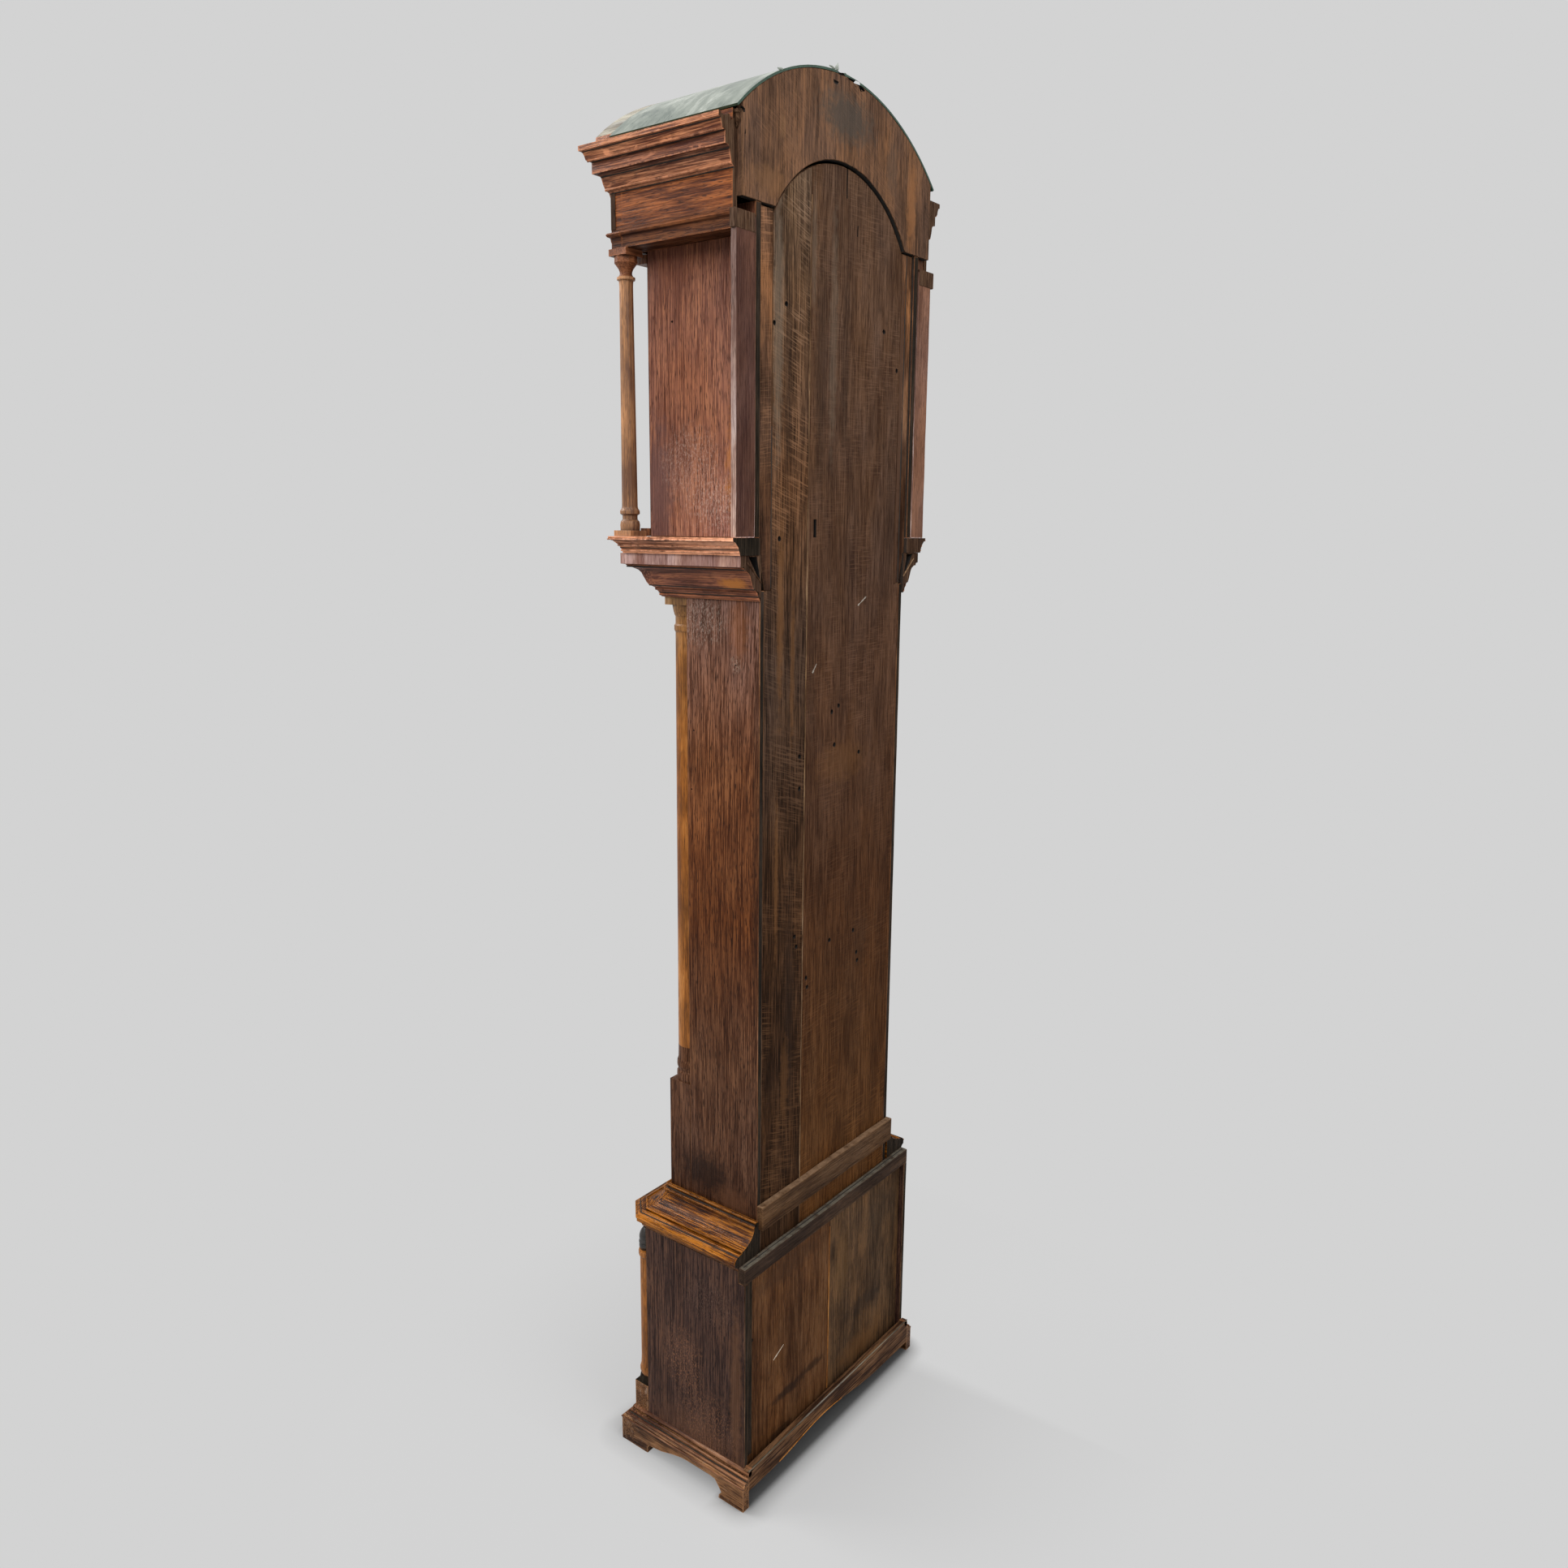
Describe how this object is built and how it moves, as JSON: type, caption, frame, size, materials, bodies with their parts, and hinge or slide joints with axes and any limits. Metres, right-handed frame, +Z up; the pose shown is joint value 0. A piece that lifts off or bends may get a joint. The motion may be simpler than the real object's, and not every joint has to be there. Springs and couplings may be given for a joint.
{
  "type": "longcase clock",
  "caption": "Tall floor-standing oak longcase clock with an arched sliding hood, corner columns, hinged doors, pendulum, weights and a wheel train behind its dial.",
  "frame": {"origin": "bottom centre of the bounding box, on the floor", "axes": "+Z up, -Y towards the front with the dial, +X to the right of someone facing the dial"},
  "size_m": [0.5476, 0.2828, 2.165],
  "materials": {
    "oak_dark": "polished dark oak",
    "oak_warm": "polished warm oak",
    "oak_gold": "polished golden oak",
    "oak_back": "unpolished aged boards",
    "roof_skin": "grey-green painted thin board",
    "brass": "brass",
    "steel": "bright steel",
    "blued_steel": "blued steel",
    "lead": "dull cast weight",
    "gut": "gut line",
    "glass": "clear pane"
  },
  "bodies": {
    "case": {"trunk_side_right": "oak_dark", "trunk_side_left": "oak_dark", "backboard_right": "oak_back", "backboard_left": "oak_back", "back_wing_right": "oak_back", "back_wing_left": "oak_back", "trunk_front_frame": "oak_dark", "trunk_column_right": "oak_warm", "trunk_column_left": "oak_warm", "throat_moulding": "oak_dark", "seatboard": "oak_back", "back_batten": "oak_back", "base_moulding": "oak_warm", "base_side_right": "oak_dark", "base_side_left": "oak_dark", "base_front": "oak_dark", "base_column_right": "oak_warm", "base_column_left": "oak_warm", "base_back_right": "oak_back", "base_back_left": "oak_back", "base_back_rail": "oak_back", "plinth": "oak_warm", "trunk_hinge_upper": "brass", "trunk_hinge_lower": "brass", "dial": "brass", "front_plate": "brass", "back_plate": "brass", "bell": "brass", "going_line": "gut", "strike_line": "gut"},
    "hood": {"hood_base_frame": "oak_warm", "hood_side_right": "oak_dark", "hood_side_left": "oak_dark", "hood_stile_right": "oak_back", "hood_stile_left": "oak_back", "hood_column_right": "oak_gold", "hood_column_left": "oak_gold", "hood_frieze_right": "oak_warm", "hood_frieze_left": "oak_warm", "hood_front": "oak_warm", "hood_cornice": "oak_warm", "hood_yoke": "oak_back", "hood_roof": "roof_skin", "dial_mask": "oak_warm"},
    "hood_door": {"hood_door": "oak_warm", "hood_glass": "glass"},
    "trunk_door": {"trunk_door": "oak_warm"},
    "pendulum": {"pendulum": "brass"},
    "anchor": {"anchor": "steel"},
    "centre_arbor": {"centre_wheel": "brass", "minute_hand": "blued_steel"},
    "hour_pipe": {"hour_hand": "blued_steel"},
    "great_wheel": {"great_wheel": "brass"},
    "third_arbor": {"third_wheel": "brass"},
    "escape_arbor": {"escape_wheel": "brass"},
    "going_barrel": {"going_barrel": "brass"},
    "strike_barrel": {"strike_barrel": "brass"},
    "going_weight": {"going_weight": "lead"},
    "strike_weight": {"strike_weight": "lead"},
    "hammer": {"hammer": "steel"}
  },
  "joints": [
    {"name": "hood_slide", "type": "slide", "parent": "case", "child": "hood", "axis": [0, -1, 0], "range_m": [0, 0.22]},
    {"name": "hood_door_hinge", "type": "hinge", "parent": "hood", "child": "hood_door", "pos_m": [0.2015, -0.0962, 1.528], "axis": [0, 0, 1], "range_deg": [0, 105]},
    {"name": "trunk_door_hinge", "type": "hinge", "parent": "case", "child": "trunk_door", "pos_m": [0.1165, -0.0725, 0.69], "axis": [0, 0, 1], "range_deg": [0, 110]},
    {"name": "pendulum_swing", "type": "hinge", "parent": "case", "child": "pendulum", "pos_m": [0, 0.0588, 1.79363], "axis": [0, 1, 0], "range_deg": [-2.5, 2.5]},
    {"name": "anchor_rock", "type": "hinge", "parent": "case", "child": "anchor", "pos_m": [0, 0.0588, 1.79363], "axis": [0, 1, 0], "range_deg": [-2.6, 2.6]},
    {"name": "minute_turn", "type": "hinge", "parent": "case", "child": "centre_arbor", "pos_m": [0, -0.0062, 1.7325], "axis": [0, 1, 0], "continuous": true},
    {"name": "hour_turn", "type": "hinge", "parent": "case", "child": "hour_pipe", "pos_m": [0, -0.0062, 1.7325], "axis": [0, 1, 0], "continuous": true},
    {"name": "great_turn", "type": "hinge", "parent": "case", "child": "great_wheel", "pos_m": [0.0405, 0.0168, 1.718], "axis": [0, 1, 0], "continuous": true},
    {"name": "third_turn", "type": "hinge", "parent": "case", "child": "third_arbor", "pos_m": [-0.018, 0.0138, 1.7491], "axis": [0, 1, 0], "continuous": true},
    {"name": "escape_turn", "type": "hinge", "parent": "case", "child": "escape_arbor", "pos_m": [0, 0.0138, 1.76363], "axis": [0, 1, 0], "continuous": true},
    {"name": "going_weight_run", "type": "slide", "parent": "case", "child": "going_weight", "axis": [0, 0, 1], "range_m": [-0.6, 0.34], "deforming": ["going_line"]},
    {"name": "going_barrel_turn", "type": "hinge", "parent": "case", "child": "going_barrel", "pos_m": [0.0405, -0.0062, 1.718], "axis": [0, 1, 0], "range_deg": [-2540, 1440]},
    {"name": "strike_weight_run", "type": "slide", "parent": "case", "child": "strike_weight", "axis": [0, 0, 1], "range_m": [-0.6, 0.34], "deforming": ["strike_line"]},
    {"name": "strike_barrel_turn", "type": "hinge", "parent": "case", "child": "strike_barrel", "pos_m": [-0.0405, -0.0062, 1.718], "axis": [0, 1, 0], "range_deg": [-2540, 1440]},
    {"name": "hammer_lift", "type": "hinge", "parent": "case", "child": "hammer", "pos_m": [-0.05, -0.0062, 1.7903], "axis": [0, 1, 0], "range_deg": [-14, 0]}
  ],
  "couplings": [
    {"joint": "anchor_rock", "follows": "pendulum_swing", "ratio": 1},
    {"joint": "hour_turn", "follows": "minute_turn", "ratio": 0.083333},
    {"joint": "great_turn", "follows": "minute_turn", "ratio": -0.083333},
    {"joint": "third_turn", "follows": "minute_turn", "ratio": -8},
    {"joint": "escape_turn", "follows": "minute_turn", "ratio": 60},
    {"joint": "going_barrel_turn", "follows": "going_weight_run", "rad_per_m": 73.801},
    {"joint": "strike_barrel_turn", "follows": "strike_weight_run", "rad_per_m": 73.801}
  ]
}
